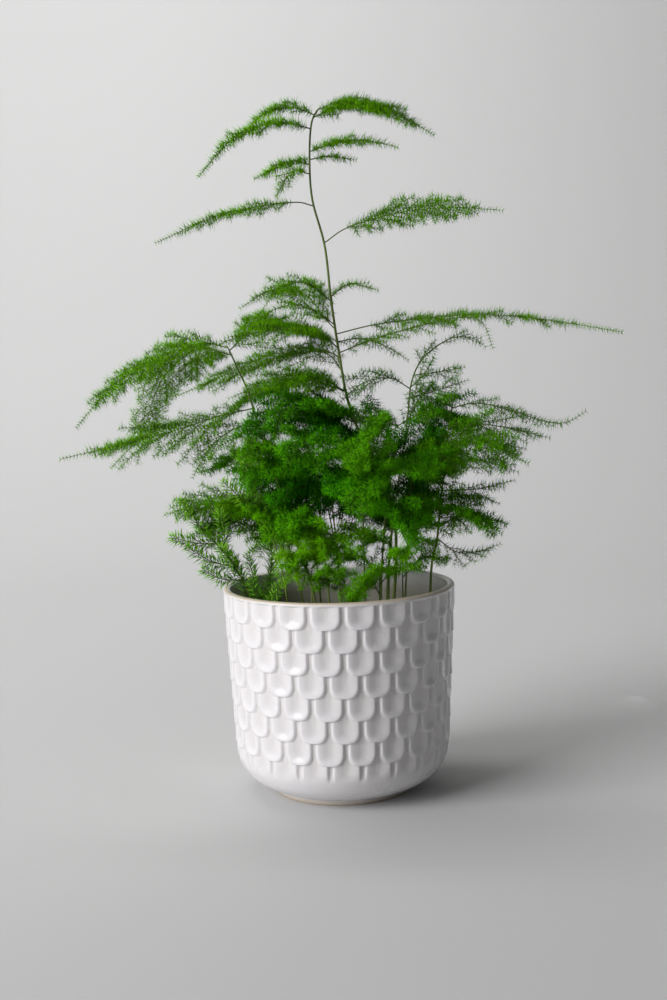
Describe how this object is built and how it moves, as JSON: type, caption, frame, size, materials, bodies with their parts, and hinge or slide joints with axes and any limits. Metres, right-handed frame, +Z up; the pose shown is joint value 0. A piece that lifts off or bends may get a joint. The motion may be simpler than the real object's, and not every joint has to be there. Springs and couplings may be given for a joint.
{
  "type": "potted lace fern",
  "caption": "Lace fern with wiry stems, flat feathery fronds and coarser needled shoots, standing in soil in a glazed pot with a relief of overlapping scales.",
  "frame": {"origin": "centre of the pot's flat foot, on the surface it stands on", "axes": "+Z up along the pot's axis, -Y towards the side seen in the picture, +X to that side's right"},
  "size_m": [0.3463, 0.2354, 0.444],
  "materials": {
    "glaze": "glossy off-white glaze",
    "soil": "matte crumbly potting soil",
    "fine_foliage": "satin green stems and fine leaves",
    "coarse_foliage": "satin dark green leaves"
  },
  "bodies": {
    "root": {"pot": "glaze", "soil": "soil", "clump_shoot_1": "fine_foliage", "clump_shoot_2": "fine_foliage", "clump_shoot_3": "fine_foliage", "clump_shoot_4": "fine_foliage", "clump_shoot_5": "fine_foliage", "clump_shoot_6": "fine_foliage", "clump_shoot_7": "fine_foliage", "front_left_shoot": "fine_foliage", "front_shoot": "fine_foliage", "left_arching_shoot": "fine_foliage", "left_low_shoot": "fine_foliage", "low_tuft_1": "fine_foliage", "low_tuft_2": "fine_foliage", "low_tuft_3": "fine_foliage", "low_tuft_4": "fine_foliage", "right_lacy_shoot": "fine_foliage", "right_tiered_shoot": "fine_foliage", "tall_shoot": "fine_foliage", "coarse_shoot_bushy": "coarse_foliage", "coarse_shoot_over_rim": "coarse_foliage", "coarse_shoot_upper": "coarse_foliage"}
  },
  "joints": []
}
